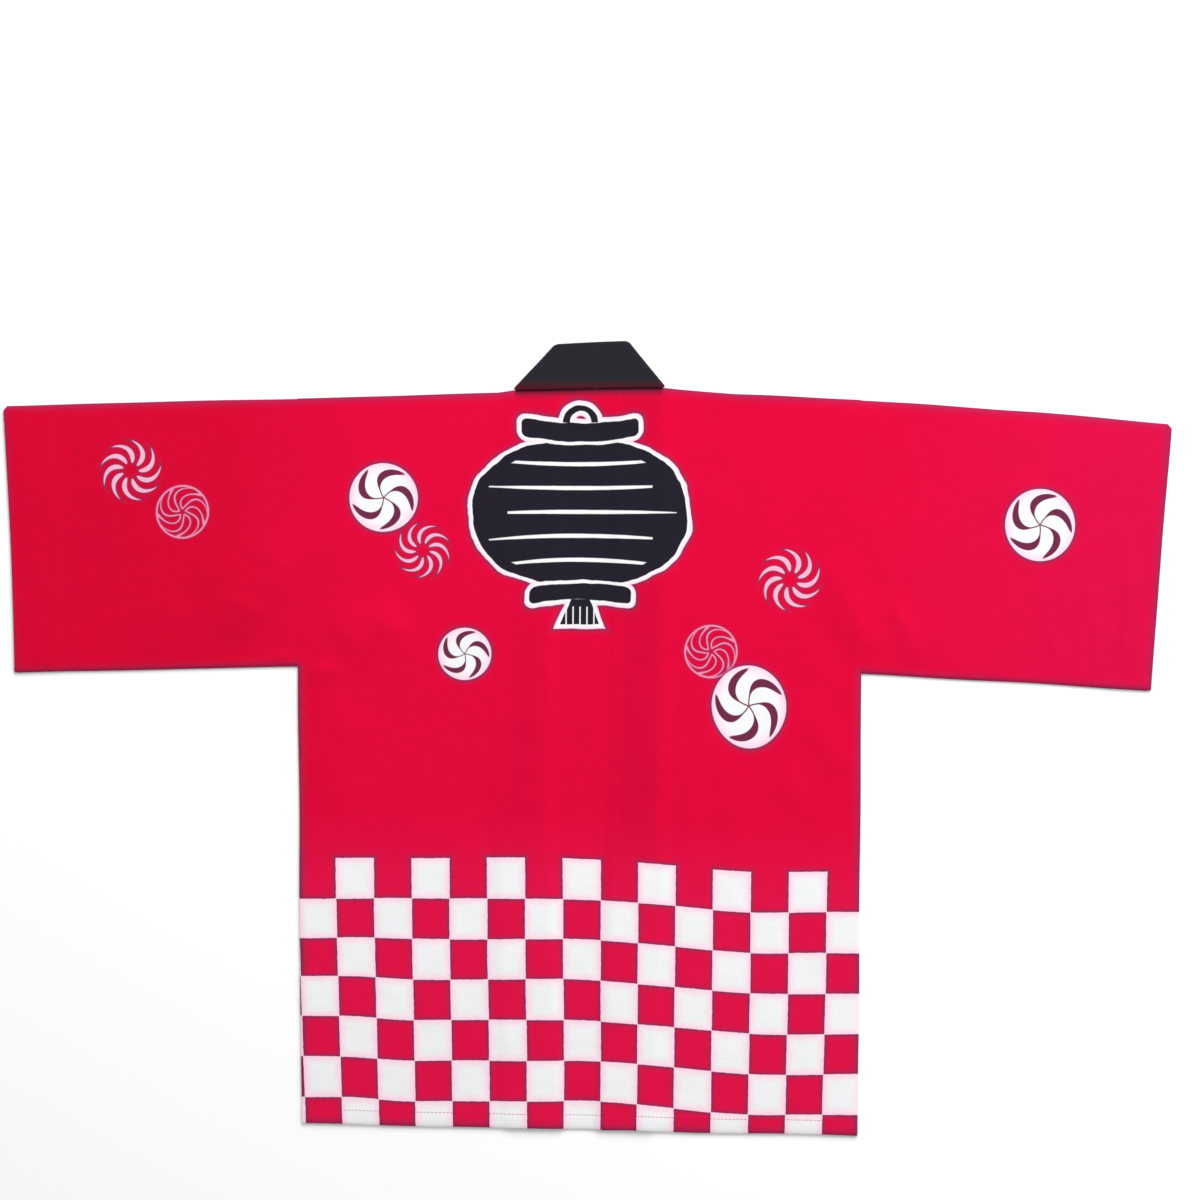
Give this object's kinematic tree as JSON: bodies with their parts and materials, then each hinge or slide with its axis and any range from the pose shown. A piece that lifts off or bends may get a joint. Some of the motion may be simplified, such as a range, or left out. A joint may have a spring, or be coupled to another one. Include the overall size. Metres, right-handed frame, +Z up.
{
  "type": "happi coat laid flat with its back up",
  "caption": "Short open-fronted festival coat with wide straight sleeves and a long band collar, laid flat with its printed back up.",
  "frame": {"origin": "the ground under the middle of the coat's box, halfway between the two cuffs and halfway from the hem to the collar's top", "axes": "+X from the wearer's left sleeve to the right one, +Y from the hem up to the collar, +Z up from the ground through the layers"},
  "size_m": [1.2888, 0.8754, 0.0078],
  "materials": {
    "printed_cotton": "matt plain-weave cotton, printed",
    "collar_cotton": "matt plain-weave cotton, dyed black"
  },
  "bodies": {
    "root": {"back": "printed_cotton", "front_left": "printed_cotton", "front_right": "printed_cotton", "sleeve_left": "printed_cotton", "sleeve_right": "printed_cotton", "collar": "collar_cotton"}
  },
  "joints": []
}
